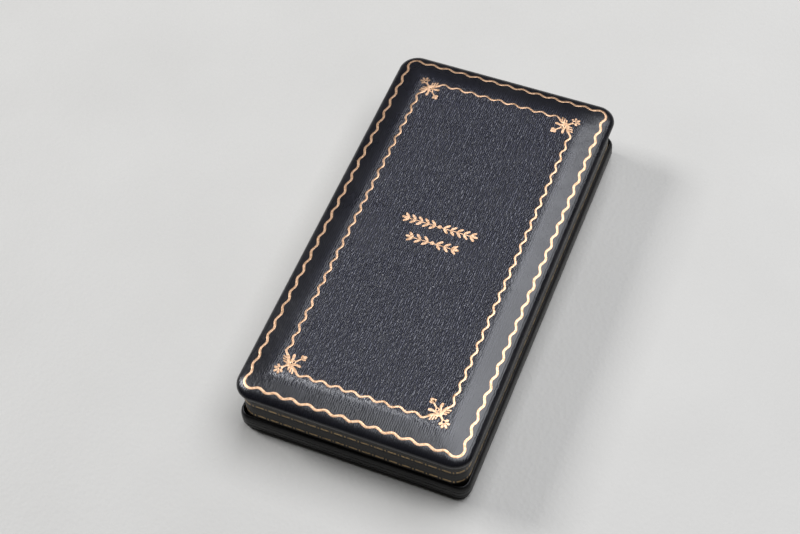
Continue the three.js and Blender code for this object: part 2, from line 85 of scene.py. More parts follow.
def add(tree, kind, inputs=None, stops=(), **settings):
    """Adds a node. An input is a value, or the output socket of another node to link."""
    node = tree.nodes.new(kind)
    for name, value in settings.items():
        setattr(node, name, value)
    for name, value in (inputs or {}).items():
        if isinstance(value, bpy.types.NodeSocket):
            tree.links.new(value, node.inputs[name])
        else:
            node.inputs[name].default_value = value
    for i, (position, colour) in enumerate(stops):
        elements = node.color_ramp.elements
        element = elements[i] if i < len(elements) else elements.new(position)
        element.position = position
        element.color = linear(colour)
    return node


def new_material(name, colour, roughness, **values):
    """A Principled material with its own sockets set; returns the material, tree and shader."""
    material = bpy.data.materials.new(name)
    material.use_nodes = True
    tree = material.node_tree
    shader = tree.nodes["Principled BSDF"]
    shader.inputs["Base Color"].default_value = linear(colour)
    shader.inputs["Roughness"].default_value = roughness
    for socket, value in values.items():
        shader.inputs[socket.replace("_", " ")].default_value = value
    return material, tree, shader


def per_mm(*spacings):
    """How often in a metre a pattern repeats whose repeats are these millimetres apart."""
    if len(spacings) == 1:
        spacings = spacings * 3
    return [1000.0 / s for s in spacings]


# %% [markdown]
# Most surfaces here need the same two things: a colour that wanders a little, and a fine relief.
# Both come from noise, whose spacing is given in millimetres, so the scale is the real one.


# %% Tint and relief
def mottle(tree, shader, spacing, stops, **noise):
    """Lets the base colour wander between the stops over noise with this spacing in mm."""
    place = add(tree, "ShaderNodeTexCoord").outputs["Object"]
    space = add(tree, "ShaderNodeMapping", {"Vector": place, "Scale": per_mm(*spacing)})
    values = {"Vector": space.outputs["Vector"], "Scale": 1.0, **noise}
    cloud = add(tree, "ShaderNodeTexNoise", values)
    tint = add(tree, "ShaderNodeValToRGB", {"Fac": cloud.outputs["Fac"]}, stops=stops)
    tree.links.new(tint.outputs["Color"], shader.inputs["Base Color"])


def roughen(tree, shader, spacing, depth, **noise):
    """Raises noise with this spacing to this depth, both in mm."""
    place = add(tree, "ShaderNodeTexCoord").outputs["Object"]
    space = add(tree, "ShaderNodeMapping", {"Vector": place, "Scale": per_mm(*spacing)})
    values = {"Vector": space.outputs["Vector"], "Scale": 1.0, **noise}
    grain = add(tree, "ShaderNodeTexNoise", values)
    relief = add(tree, "ShaderNodeBump", {"Height": grain.outputs["Fac"], "Distance": depth * MM})
    tree.links.new(relief.outputs["Normal"], shader.inputs["Normal"])


# %% [markdown]
# ## Leatherette
# The covering is cotton cloth with a near-black blue nitrocellulose coat. A steel roller presses
# a straight grain into it: long, slightly wavy ridges that run along the case, under a
# millimetre apart. Each ridge catches the window, so the crown glitters in short streaks, and the
# ridge tops are painted lighter as highlight and the furrows darker as shade. Over the padded
# margins the cloth is stretched, which flattens the grain and leaves a smooth sheen; there the
# colour is also painted darker as shade.

# %% Leatherette
GRAIN_ACROSS, GRAIN_ALONG = 0.78, 1.6  # mm from ridge to ridge, and from kink to kink
WAVE_REPEAT = 0.314  # wave bands are this far apart at a scale of 1
CROWN_HALF_X, CROWN_HALF_Y = 30.7 * MM, 69.2 * MM


def leatherette_material():
    material, tree, shader = new_material("coated_leatherette", "#12131b", 0.33, Specular_IOR_Level=0.62)
    place = add(tree, "ShaderNodeTexCoord").outputs["Object"]

    # How far outside the flat crown a point is, in metres, how the grain's relief flattens there, and
    # how its colour is painted darker there as shade.
    axes = add(tree, "ShaderNodeSeparateXYZ", {"Vector": place})
    reach = []
    for axis, half in (("X", CROWN_HALF_X), ("Y", CROWN_HALF_Y)):
        size = add(tree, "ShaderNodeMath", {0: axes.outputs[axis]}, operation="ABSOLUTE")
        past = add(tree, "ShaderNodeMath", {0: size.outputs[0], 1: half}, operation="SUBTRACT")
        reach.append(past.outputs[0])
    past = add(tree, "ShaderNodeMath", {0: reach[0], 1: reach[1]}, operation="MAXIMUM")
    eased = []
    for start, end, least in ((-3, 4, 0.08), (-6, 8, 0.2)):
        span = {"Value": past.outputs[0], "From Min": start * MM, "From Max": end * MM}
        span.update({"To Min": 1.0, "To Max": least})
        step = add(tree, "ShaderNodeMapRange", span, interpolation_type="SMOOTHSTEP")
        eased.append(step.outputs["Result"])
    slack, margin_painted_shade = eased
    grain_scale = per_mm(GRAIN_ACROSS, GRAIN_ALONG, GRAIN_ACROSS)
    grain_space = add(tree, "ShaderNodeMapping", {"Vector": place, "Scale": grain_scale})
    waves = {"Vector": grain_space.outputs["Vector"], "Scale": WAVE_REPEAT, "Distortion": 4.2}
    waves.update({"Detail": 1.5, "Detail Scale": 3.0, "Detail Roughness": 0.6})
    bands = add(tree, "ShaderNodeTexWave", waves, wave_type="BANDS", bands_direction="X")
    ridges = bands.outputs["Fac"]
    # Painted light: the ridge tops are coloured lighter as a painted highlight and the furrows darker as
    # painted shade, and outside the crown the colour sinks towards the dark stop as painted shade on the
    # margins.
    shade = add(tree, "ShaderNodeMath", {0: ridges, 1: margin_painted_shade}, operation="MULTIPLY")
    stops = [(0.1, "#08080d"), (0.9, "#42434f")]
    tint = add(tree, "ShaderNodeValToRGB", {"Fac": shade.outputs[0]}, stops=stops)
    tree.links.new(tint.outputs["Color"], shader.inputs["Base Color"])

    # Handling polishes the coat in patches.
    wear_space = add(tree, "ShaderNodeMapping", {"Vector": place, "Scale": per_mm(22)})
    wear_values = {"Vector": wear_space.outputs["Vector"], "Scale": 1.0, "Detail": 4.0}
    wear = add(tree, "ShaderNodeTexNoise", wear_values).outputs["Fac"]
    shine = {"Value": wear, "From Min": 0.3, "From Max": 0.7, "To Min": 0.24, "To Max": 0.32}
    polish = add(tree, "ShaderNodeMapRange", shine)
    tree.links.new(polish.outputs["Result"], shader.inputs["Roughness"])

    # Counted from mid height, so that the flattened grain keeps the crown's level.
    level = add(tree, "ShaderNodeMath", {0: ridges, 1: 0.5}, operation="SUBTRACT")
    height = add(tree, "ShaderNodeMath", {0: level.outputs[0], 1: slack}, operation="MULTIPLY")
    grain = add(tree, "ShaderNodeBump", {"Height": height.outputs[0], "Distance": 0.3 * MM})
    above = {"Height": wear, "Distance": 0.5 * MM, "Normal": grain.outputs["Normal"]}
    swell = add(tree, "ShaderNodeBump", above)
    tree.links.new(swell.outputs["Normal"], shader.inputs["Normal"])
    return material


# %% [markdown]
# The walls and the base are covered in a thinner, browner glazed cloth with hardly any grain.
# It is smooth enough to mirror the table along the foot, yet stays nearly black.


# %% Glazed bookcloth
def bookcloth_material(name, dark, light, roughness, specular):
    material, tree, shader = new_material(name, dark, roughness, Specular_IOR_Level=specular)
    mottle(tree, shader, (9,), [(0.35, dark), (0.7, light)], Detail=5.0)
    roughen(tree, shader, (0.7,), 0.12, Detail=3.0)
    return material


LEATHERETTE = leatherette_material()
WALL_CLOTH = bookcloth_material("glazed_wall_cloth", "#0e0c0a", "#1b1713", 0.42, 0.3)
BASE_CLOTH = bookcloth_material("glazed_base_cloth", "#050505", "#0e0d0d", 0.36, 0.22)

# %% [markdown]
# ## Gold, brass, steel and bronze
# The tooling is gold foil, pressed in with a hot brass wheel: thin, warm and slightly broken
# where the grain kept the wheel off. The frame and hinge are rolled brass under lacquer, the
# springs and pins drawn steel, and the medal struck bronze with a brown patina.


# %% Metals
def foil_material(name, bright, dull, roughness):
    material, tree, shader = new_material(name, bright, roughness, Metallic=0.85)
    mottle(tree, shader, (1.1,), [(0.36, dull), (0.54, bright)], Detail=5.0, Roughness=0.7)
    roughen(tree, shader, (1.1,), 0.1, Detail=5.0, Roughness=0.7)
    return material


def metal_material(name, colour, shade, roughness, grain, depth):
    """Rolled, drawn or struck metal: a tint that wanders and a fine surface grain, in mm."""
    material, tree, shader = new_material(name, colour, roughness, Metallic=1.0)
    mottle(tree, shader, (7,), [(0.3, shade), (0.65, colour)], Detail=5.0)
    roughen(tree, shader, grain, depth, Detail=3.0)
    return material


LID_GILT = foil_material("gold_foil_on_lid", "#e6bd99", "#b18a66", 0.4)
WALL_GILT = foil_material("gold_foil_on_walls", "#b59a70", "#5d4d38", 0.45)
BRASS = metal_material("rolled_brass", "#d8b06a", "#b98f4c", 0.26, (0.4, 4.0, 0.4), 0.03)
STEEL = metal_material("spring_steel", "#c4c6c9", "#9a9da2", 0.24, (0.3, 3.0, 0.3), 0.02)
BRONZE = metal_material("struck_bronze", "#b07a4e", "#996744", 0.3, (0.5,), 0.04)
TONED_BRONZE = metal_material("toned_bronze_field", "#74492b", "#5f3b23", 0.44, (0.5,), 0.04)

# %% [markdown]
# ## Cloth
# Inside are four cloths: short-pile velvet on the bed, satin in the lid, ribbed silk ribbon on
# the medal, and plain card under the bed. Velvet glows at its edges, which sheen gives; satin
# has long floats one way, so its highlight is soft and drawn out.


# %% Velvet and satin
def velvet_material():
    material, tree, shader = new_material(
        "short_pile_velvet", "#a98447", 0.9, Sheen_Weight=0.8, Sheen_Roughness=0.35
    )
    shader.inputs["Sheen Tint"].default_value = linear("#f2dca6")
    mottle(tree, shader, (12,), [(0.3, "#a07b40"), (0.7, "#b18b4c")], Detail=3.0, Distortion=0.6)
    roughen(tree, shader, (0.45,), 0.25, Detail=2.0)
    return material


def satin_material():
    material, tree, shader = new_material(
        "cream_satin", "#e2d5b0", 0.38, Sheen_Weight=0.35, Sheen_Roughness=0.3, Anisotropic=0.5
    )
    floats = (0.3, 3.5, 0.3)
    mottle(tree, shader, floats, [(0.3, "#d6c79d"), (0.7, "#ebdfbe")], Detail=2.0)
    roughen(tree, shader, floats, 0.05, Detail=2.0)
    return material


# %% [markdown]
# The ribbon's stripes run along it, so the colour depends only on the distance across: plain
# blue at both edges and thirteen fine stripes between. The weft shows as small ribs. The same
# stripes, scaled down, are painted in enamel on the lapel button.


# %% Stripes, card and enamel
RIBBON_WIDTH = 35 * MM
BUTTON_WIDTH = 16.4 * MM
STRIPES = 13


def striped_material(name, width, first, roughness, **values):
    """Stripes by the distance across a width in metres, from a share of it to its mirror."""
    blue, white, red = "#243468", "#e9e4da", "#a3222e"
    material, tree, shader = new_material(name, blue, roughness, **values)
    place = add(tree, "ShaderNodeTexCoord").outputs["Object"]
    across = add(tree, "ShaderNodeSeparateXYZ", {"Vector": place})
    span = {"Value": across.outputs["X"], "From Min": -width / 2, "From Max": width / 2}
    share = add(tree, "ShaderNodeMapRange", span)
    step = (1 - 2 * first) / STRIPES
    stops = [(first + i * step, red if i % 2 else white) for i in range(STRIPES)]
    stops = [(0.0, blue)] + stops + [(1 - first, blue)]
    bands = add(tree, "ShaderNodeValToRGB", {"Fac": share.outputs["Result"]}, stops=stops)
    bands.color_ramp.interpolation = "CONSTANT"
    tree.links.new(bands.outputs["Color"], shader.inputs["Base Color"])
    return material, tree, shader


def ribbon_material():
    material, tree, shader = striped_material(
        "ribbed_silk_ribbon", RIBBON_WIDTH, 0.32, 0.6, Sheen_Weight=0.3, Sheen_Roughness=0.4
    )
    roughen(tree, shader, (5.0, 0.55, 5.0), 0.12, Detail=1.0)
    return material


def enamel_material():
    material, tree, shader = striped_material("hard_enamel", BUTTON_WIDTH, 0.3, 0.16)
    roughen(tree, shader, (1.5,), 0.02)
    return material


def card_material():
    material, tree, shader = new_material("grey_card", "#9b9080", 0.95)
    mottle(tree, shader, (0.8,), [(0.3, "#857a6a"), (0.7, "#a89d8c")], Detail=6.0)
    roughen(tree, shader, (0.8,), 0.06, Detail=6.0)
    return material


VELVET = velvet_material()
SATIN = satin_material()
CARD = card_material()
SILK = ribbon_material()
ENAMEL = enamel_material()
print("materials:", len(bpy.data.materials))

# %% [markdown]
# ## Working round the rim
# Nearly every board and strip of this case is one rounded rectangle, stepped in and up. So the
# helpers work in two measures: how far inside the outer outline a point is, and how high.

# %% Rim helpers
CORNER_STEPS = 14
SIDE_CUTS = 15
TOUCHING = 1e-7


def signed(size, like):
    return math.copysign(size, like)


class Rim:
    """A rounded rectangle centred on the origin, with a way to step in from its edge.

    Stepped in, its corners get tighter, but never tighter than the given radius."""

    def __init__(self, half_x, half_y, radius, tightest=1.4 * MM):
        self.half_x, self.half_y, self.radius = half_x, half_y, radius
        self.loose = radius - min(tightest, radius)
        self.core_x, self.core_y = half_x - radius, half_y - radius

    def inside(self, x, y, inset):
        """Where the outline's point (x, y) lies once it is stepped in."""
        past = max(0.0, inset - self.loose)
        core_x, core_y = self.core_x - past, self.core_y - past
        if abs(x) > self.core_x + TOUCHING and abs(y) > self.core_y + TOUCHING:
            across = (abs(x) - self.core_x) / self.radius
            along = (abs(y) - self.core_y) / self.radius
            left = self.radius - (inset - past)
            return signed(core_x + across * left, x), signed(core_y + along * left, y)
        if abs(x) > self.core_x + TOUCHING:
            return signed(self.half_x - inset, x), y * core_y / self.core_y
        return x * core_x / self.core_x, signed(self.half_y - inset, y)

    def length(self):
        return 4 * (self.core_x + self.core_y) + 2 * math.pi * self.radius

    def walk(self, distance):
        """The point and outward direction this far round, counted from the right of the front."""
        quarter = math.pi * self.radius / 2
        legs = [
            (2 * self.core_y, (self.half_x, -self.core_y), (0, 1), (1, 0)),
            (2 * self.core_x, (self.core_x, self.half_y), (-1, 0), (0, 1)),
            (2 * self.core_y, (-self.half_x, self.core_y), (0, -1), (-1, 0)),
            (2 * self.core_x, (-self.core_x, -self.half_y), (1, 0), (0, -1)),
        ]
        turns = [(1, 1), (-1, 1), (-1, -1), (1, -1)]
        distance %= self.length()
        for i, (side, start, way, out) in enumerate(legs):
            if distance <= side:
                place = Vector(start) + Vector(way) * distance
                return place, Vector(out)
            distance -= side
            if distance <= quarter:
                angle = i * math.pi / 2 + distance / self.radius
                out = Vector((math.cos(angle), math.sin(angle)))
                centre = Vector((turns[i][0] * self.core_x, turns[i][1] * self.core_y))
                return centre + out * self.radius, out
            distance -= quarter
        return Vector(legs[0][1]), Vector((1, 0))


def rounded_plate(bm, half_x, half_y, radius):
    """A flat rectangle whose four corners are bevelled into arcs."""
    size = Matrix.Diagonal((half_x, half_y, 1, 1))
    corners = bmesh.ops.create_grid(bm, x_segments=1, y_segments=1, size=1.0, matrix=size)["verts"]
    bmesh.ops.bevel(
        bm, geom=corners, offset=radius, offset_type="OFFSET", affect="VERTICES",
        segments=CORNER_STEPS, profile=0.5, material=-1,
    )


def into_piece(bm, name, material, sharp=40):
    """Turns a bmesh into a smooth-shaded piece with edges kept sharp past an angle."""
    bmesh.ops.remove_doubles(bm, verts=bm.verts, dist=TOUCHING)
    bmesh.ops.recalc_face_normals(bm, faces=bm.faces)
    mesh = bpy.data.meshes.new(name)
    bm.to_mesh(mesh)
    bm.free()
    mesh.polygons.foreach_set("use_smooth", [True] * len(mesh.polygons))
    mesh.set_sharp_from_angle(angle=math.radians(sharp))
    piece = bpy.data.objects.new(name, mesh)
    bpy.context.scene.collection.objects.link(piece)
    mesh.materials.append(material)
    return piece


def swept_rim(name, rim, profile, material, capped=False, sharp=40):
    """Carries a rounded outline along (inset, height) steps in metres.

    The loop closes on itself, or with capped both ends are filled to make one solid board."""
    bm = bmesh.new()
    rounded_plate(bm, rim.half_x, rim.half_y, rim.radius)
    outline = bm.verts.layers.float_vector.new("outline")
    bmesh.ops.delete(bm, geom=list(bm.faces), context="FACES_ONLY")
    sides = [e for e in bm.edges if e.calc_length() > 20 * MM]
    bmesh.ops.subdivide_edges(bm, edges=sides, cuts=SIDE_CUTS)
    for vert in bm.verts:
        vert[outline] = vert.co
    loops = []
    edges = list(bm.edges)
    for i, (inset, height) in enumerate(profile):
        if i > 0:
            made = bmesh.ops.extrude_edge_only(bm, edges=edges)["geom"]
            edges = [g for g in made if isinstance(g, bmesh.types.BMEdge)]
        for vert in {v for e in edges for v in e.verts}:
            x, y = rim.inside(vert[outline].x, vert[outline].y, inset)
            vert.co = (x, y, height)
        loops.append(edges)
    if capped:
        for loop in (loops[0], loops[-1]):
            bmesh.ops.contextual_create(bm, geom=loop)
    else:
        bmesh.ops.bridge_loops(bm, edges=loops[0] + loops[-1])
    return into_piece(bm, name, material, sharp)


def quarter_turn(start, run, rise, first, last, steps):
    """Points of an ellipse's arc as (inset, height), by angle in degrees from the outermost."""
    points = []
    for i in range(steps + 1):
        angle = math.radians(first + (last - first) * i / steps)
        inset = start[0] + run * (1 - math.cos(angle))
        points.append((inset, start[1] + rise * math.sin(angle)))
    return points


# %% [markdown]
# ## The lid's padded board
# The lid is wood and card with wadding under the covering. Its rim rolls under to meet the
# wall, a gently sloping margin runs between the two gilt borders, and the crown is flat.

# %% Lid board
low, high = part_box("lid_board")
LID = Rim((high.x - low.x) / 2, (high.y - low.y) / 2, 7.4 * MM, tightest=5.5 * MM)
crown, underside = high.z, low.z
widest = underside + 1.2 * MM
margin_outer, margin_inner = 3.94 * MM, 13.3 * MM  # from the lid's edge to each gilt border
margin_drop = 1.65 * MM

wall_low, wall_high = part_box("lid_wall")
overhang = LID.half_x - wall_high.x
roll_run = 6.2 * MM
roll_rise = (crown - margin_drop - widest) / math.sqrt(1 - (1 - margin_outer / roll_run) ** 2)
roll_end = math.degrees(math.acos(1 - margin_outer / roll_run))
slope = margin_drop / (margin_inner - margin_outer)

lid_profile = [(overhang + 0.5 * MM, underside + 0.05 * MM)]
lid_profile += quarter_turn((0, widest), 1.1 * MM, 1.15 * MM, -90, 0, 6)[:-1]
lid_profile += quarter_turn((0, widest), roll_run, roll_rise, 0, roll_end, 14)
for share in (0.25, 0.5, 0.75, 0.9):
    inset = margin_outer + share * (margin_inner - margin_outer)
    lid_profile.append((inset, crown - slope * (margin_inner - inset)))
lid_profile += [(margin_inner, crown - 0.03 * MM), (14.4 * MM, crown), (17 * MM, crown)]

lid_leather = swept_rim("lid_leatherette", LID, lid_profile, LEATHERETTE, capped=True)
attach(lid_leather, "lid")
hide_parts("lid_board")
print("lid board:", len(lid_leather.data.polygons), "faces")

# %% [markdown]
# ## Walls, plinth and bottom board
# The walls are thin strips of wood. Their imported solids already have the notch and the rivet
# holes for the hinge, so a merged copy with softened edges is the quickest true shape. The
# plinth and bottom board are swept like the lid.


# %% Base and walls
def merged_solid(node, flatten=True):
    """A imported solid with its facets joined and, if wanted, its flat faces made whole."""
    bm = bmesh.new()
    bm.from_mesh(frame["nodes"][node].data)
    bmesh.ops.remove_doubles(bm, verts=bm.verts, dist=2e-6)
    if flatten:
        bmesh.ops.dissolve_limit(
            bm, angle_limit=math.radians(0.4), use_dissolve_boundaries=False,
            verts=bm.verts, edges=bm.edges, delimit=set(),
        )
    return bm


def sharp_edges(bm, angle):
    return [e for e in bm.edges if e.is_manifold and e.calc_face_angle(0) > math.radians(angle)]


def soften_edges(bm, edges, width):
    bmesh.ops.bevel(
        bm, geom=edges, offset=width, offset_type="OFFSET", affect="EDGES",
        segments=2, profile=0.5, material=-1, clamp_overlap=True,
    )


def refined(node, name, material, soften):
    """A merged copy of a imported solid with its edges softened, in place of that solid."""
    bm = merged_solid(node)
    soften_edges(bm, sharp_edges(bm, 35), soften)
    piece = into_piece(bm, name, material, 35)
    bodies = frame["record"]["behaviour"]["bodies"]
    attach(piece, next(body for body, members in bodies.items() if node in members))
    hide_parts(node)
    return piece


base_wall = refined("base_wall", "base_wall_covered", WALL_CLOTH, 0.15 * MM)
lid_wall = refined("lid_wall", "lid_wall_covered", WALL_CLOTH, 0.15 * MM)

low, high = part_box("base_plinth")
PLINTH = Rim((high.x - low.x) / 2, (high.y - low.y) / 2, 4.5 * MM)
plinth_in = PLINTH.half_x - wall_high.x - 0.15 * MM
plinth_profile = [(plinth_in, low.z), (0.3 * MM, low.z)]
plinth_profile += quarter_turn((0, low.z + 0.3 * MM), 0.3 * MM, 0.3 * MM, -90, 0, 3)[1:]
# Two folds of the cloth leave fine raised lines along the foot.
for fold in (low.z + 0.7 * MM, low.z + 3.0 * MM):
    plinth_profile += [(0, fold), (0.22 * MM, fold + 0.12 * MM), (0.02 * MM, fold + 0.3 * MM)]
shoulder = high.z - 2.6 * MM
plinth_profile += quarter_turn((0, shoulder), plinth_in, 2.55 * MM, 0, 90, 8)
plinth = swept_rim("base_plinth_covered", PLINTH, plinth_profile, BASE_CLOTH)
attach(plinth, "base")
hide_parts("base_plinth")

low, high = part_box("base_bottom_board")
FOOT = Rim((high.x - low.x) / 2, (high.y - low.y) / 2, 3.9 * MM)
foot_profile = [(0.9 * MM, low.z)]
foot_profile += quarter_turn((0, low.z + 0.9 * MM), 0.9 * MM, 0.9 * MM, -90, 0, 4)[1:]
foot_profile += quarter_turn((0, high.z - 0.7 * MM), 0.7 * MM, 0.65 * MM, 0, 90, 4)
foot = swept_rim("base_bottom_covered", FOOT, foot_profile, BASE_CLOTH, capped=True)
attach(foot, "base")
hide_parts("base_bottom_board")
print("walls:", len(base_wall.data.polygons), len(lid_wall.data.polygons), "faces")

# %% [markdown]
# ## Gilt tooling
# The finisher rolls a hot brass wheel with a wave cut in it along each side, then stamps a spray
# at each corner. The lines are drawn flat here as round cords, pressed nearly flat, and dropped
# onto the leather by casting a ray down from every point.

# %% Tooling helpers
FOIL = 0.05 * MM  # half the height that the foil's domed line stands at
LIFT = 0.015 * MM


def surface_below(piece):
    bm = bmesh.new()
    bm.from_mesh(piece.data)
    tree = BVHTree.FromBMesh(bm)
    bm.free()
    return tree


def lay_on(bm, tree):
    """Drops every point onto the surface below it, keeping its own small height."""
    for vert in bm.verts:
        hit = tree.ray_cast(Vector((vert.co.x, vert.co.y, 1.0)), Vector((0, 0, -1)))[0]
        vert.co.z += hit.z + LIFT


def cord_line(bm, points, width, closed=False):
    """A pressed line through flat points, as a bevelled curve turned to mesh and flattened."""
    curve = bpy.data.curves.new("line", "CURVE")
    curve.dimensions = "3D"
    curve.bevel_depth = width / 2
    curve.bevel_resolution = 1
    curve.use_fill_caps = True
    spline = curve.splines.new("POLY")
    spline.points.add(len(points) - 1)
    for place, (x, y) in zip(spline.points, points):
        place.co = (x, y, 0, 1)
    spline.use_cyclic_u = closed
    holder = bpy.data.objects.new("line", curve)
    bpy.context.scene.collection.objects.link(holder)
    evaluated = holder.evaluated_get(bpy.context.evaluated_depsgraph_get())
    mesh = bpy.data.meshes.new_from_object(evaluated)
    before = set(bm.verts)
    bm.from_mesh(mesh)
    for vert in set(bm.verts) - before:
        vert.co.z *= FOIL / (width / 2)
    bpy.data.objects.remove(holder)
    bpy.data.curves.remove(curve)
    bpy.data.meshes.remove(mesh)


def waved(start, end, waves, swing, steps=12):
    """Points along a straight run that sway from side to side and begin on the outer side."""
    start, end = Vector(start), Vector(end)
    run = end - start
    side = Vector((-run.y, run.x)).normalized()
    points = []
    for i in range(waves * steps + 1):
        t = i / (waves * steps)
        points.append(start + run * t - side * swing * math.cos(2 * math.pi * waves * t))
    return points


# %% [markdown]
# The outer border is one closed line: four waved sides joined by tight, nearly square corners.
# The inner border stops short of each corner, where the sprays take over.

# %% Gilt borders
on_lid = surface_below(lid_leather)
LINE = 0.74 * MM  # the inner wheel's line; the outer one is broader


def border_sides(half_x, half_y, gap, long_waves, short_waves):
    """The four sides round the lid, each short of its corners by the gap, with its waves."""
    x, y = half_x - gap, half_y - gap
    return [
        ((half_x, -y), (half_x, y), long_waves),
        ((x, half_y), (-x, half_y), short_waves),
        ((-half_x, y), (-half_x, -y), long_waves),
        ((-x, -half_y), (x, -half_y), short_waves),
    ]


def outer_border():
    half_x, half_y = LID.half_x - margin_outer, LID.half_y - margin_outer
    bend, swing = 2.6 * MM, 0.5 * MM
    points = []
    for i, (start, end, waves) in enumerate(border_sides(half_x, half_y, bend, 24, 12)):
        points += waved(start, end, waves, swing)
        centre = Vector((signed(half_x - bend, end[0]), signed(half_y - bend, end[1])))
        for step in range(1, 6):
            angle = (i + step / 6) * math.pi / 2
            points.append(centre + (bend + swing) * Vector((math.cos(angle), math.sin(angle))))
    bm = bmesh.new()
    cord_line(bm, points, LINE * 1.22, closed=True)
    lay_on(bm, on_lid)
    return into_piece(bm, "lid_gilt_outer_border", LID_GILT)


def inner_border():
    half_x, half_y = LID.half_x - margin_inner, LID.half_y - margin_inner
    gap = 7.9 * MM  # from the corner to where the spray's branch becomes the wave
    bm = bmesh.new()
    for start, end, waves in border_sides(half_x, half_y, gap, 22, 8):
        cord_line(bm, waved(start, end, waves, 0.55 * MM), LINE)
    lay_on(bm, on_lid)
    return into_piece(bm, "lid_gilt_inner_border", LID_GILT)


# %% [markdown]
# Each corner spray has a round blossom at its outer end, on the border's corner, two feathered
# branches that swing out into the waves, and a tulip with a three-lobed bud on a stalk that
# points to the middle. It is drawn once, along the diagonal, and turned into the four corners.


# %% Corner sprays
def leaf(bm, middle, angle, length, width, blunt=1.0):
    """A flat leaf: a disc pulled to points at both ends, then raised a little."""
    turn = Matrix.Translation((middle[0], middle[1], 0)) @ Matrix.Rotation(angle, 4, "Z")
    made = bmesh.ops.create_circle(bm, cap_ends=True, segments=14, radius=1.0)["verts"]
    for vert in made:
        pinch = max(0.0, 1 - vert.co.x**2) ** (0.5 * blunt)
        vert.co = (vert.co.x * length / 2, signed(pinch * width / 2, vert.co.y), -FOIL)
    faces = list({f for v in made for f in v.link_faces})
    raised = bmesh.ops.extrude_face_region(bm, geom=faces)["geom"]
    top = [g for g in raised if isinstance(g, bmesh.types.BMVert)]
    for vert in top:
        vert.co.z = FOIL
    bmesh.ops.transform(bm, matrix=turn, verts=made + top)


def spray(bm):
    """The spray with its corner at the origin; x and y run inwards along the two borders."""
    diagonal = math.pi / 4
    inwards = Vector((math.cos(diagonal), math.sin(diagonal)))
    across = Vector((-inwards.y, inwards.x))

    def at(along, aside):
        return (inwards * along + across * aside) * MM

    def ring(middle, radius, width):
        angles = [2 * math.pi * i / 14 for i in range(14)]
        circle = [at(middle + radius * math.cos(t), radius * math.sin(t)) for t in angles]
        cord_line(bm, circle, width * MM, closed=True)

    # Blossom: a ring with five petals that turn outwards.
    ring(0.5, 0.68, 0.42)
    petals = ((0, 1.75, 1.5), (42, 1.6, 1.4), (-42, 1.6, 1.4), (88, 1.3, 1.1), (-88, 1.3, 1.1))
    for turn, reach, length in petals:
        angle = math.pi + math.radians(turn)
        petal = at(0.5 + reach * math.cos(angle), reach * math.sin(angle))
        leaf(bm, petal, diagonal + angle, length * MM, 0.85 * MM, 0.6)
    cord_line(bm, [at(1.2, 0), at(2.4, 0), at(3.8, 0)], 0.75 * MM)

    # Two branches, drawn as plain distances inwards along one border and away from it.
    stem = [(2.3, 2.3), (3.3, 2.0), (4.4, 1.85), (5.3, 1.4)]
    tail = [(5.3, 1.4), (6.1, 0.7), (6.9, -0.05), (7.5, -0.42), (8.0, -0.55)]
    fingers = [((3.1, 2.0), (3.3, 0.75)), ((4.0, 1.9), (4.2, 0.15)), ((4.8, 1.6), (5.15, -0.15))]
    for flip in (False, True):

        def along_border(points):
            return [Vector((b, a) if flip else (a, b)) * MM for a, b in points]

        cord_line(bm, along_border(stem + tail[1:2]), 1.0 * MM)
        cord_line(bm, along_border(tail), LINE)
        for finger in fingers:
            root, tip = along_border(finger)
            heading = math.atan2(tip.y - root.y, tip.x - root.x)
            cord_line(bm, [root, tip], 0.52 * MM)
            leaf(bm, tip, heading, 0.9 * MM, 0.6 * MM, 0.6)

    # Tulip, its two side leaves, and the bud on its stalk.
    ring(5.7, 0.58, 0.42)
    for side in (-1, 1):
        cup = [at(3.6, side * 0.15), at(4.5, side * 0.55), at(5.4, side * 1.15), at(6.2, side * 1.55)]
        cord_line(bm, cup, 0.78 * MM)
        leaf(bm, at(6.55, side * 2.15), diagonal + side * math.radians(52), 1.9 * MM, 1.05 * MM, 0.7)
    cord_line(bm, [at(6.3, 0), at(7.4, 0), at(8.6, 0)], 0.55 * MM)
    leaf(bm, at(9.5, 0), diagonal, 2.2 * MM, 1.35 * MM, 0.7)
    for side in (-1, 1):
        leaf(bm, at(9.15, side * 0.6), diagonal + side * math.radians(50), 1.5 * MM, 1.0 * MM, 0.7)


def sprays():
    bm = bmesh.new()
    half_x, half_y = LID.half_x - margin_inner, LID.half_y - margin_inner
    for sx in (-1, 1):
        for sy in (-1, 1):
            one = bmesh.new()
            spray(one)
            corner = Matrix.Translation((sx * half_x, sy * half_y, 0))
            mirror = Matrix.Diagonal((-sx, -sy, 1, 1))
            bmesh.ops.transform(one, matrix=corner @ mirror, verts=one.verts)
            mesh = bpy.data.meshes.new("spray")
            one.to_mesh(mesh)
            one.free()
            bm.from_mesh(mesh)
            bpy.data.meshes.remove(mesh)
    lay_on(bm, on_lid)
    return into_piece(bm, "lid_gilt_corner_sprays", LID_GILT)


# %% [markdown]
# In the middle the case carries two short gilt rows. Here they are plain laurel: a long row of
# leaves over a shorter one, each pointing out from a berry.


# %% Laurel ornament
def laurel_row(bm, middle_y, half_length, pairs):
    stalk = [(-half_length, middle_y), (half_length, middle_y)]
    cord_line(bm, stalk, 0.4 * MM)
    for side in (-1, 1):
        for i in range(pairs):
            x = side * (1.9 * MM + (half_length - 2.4 * MM) * i / (pairs - 1))
            for up in (-1, 1):
                lean = math.atan2(up * 1.0, side * 1.15)
                place = (x + side * 0.75 * MM, middle_y + up * 1.05 * MM)
                leaf(bm, place, lean, 2.7 * MM, 1.0 * MM, 1.0)
        leaf(bm, (side * (half_length + 1.0 * MM), middle_y), 0, 2.4 * MM, 1.1 * MM, 1.0)
    leaf(bm, (0, middle_y), 0, 1.5 * MM, 1.5 * MM, 0.6)


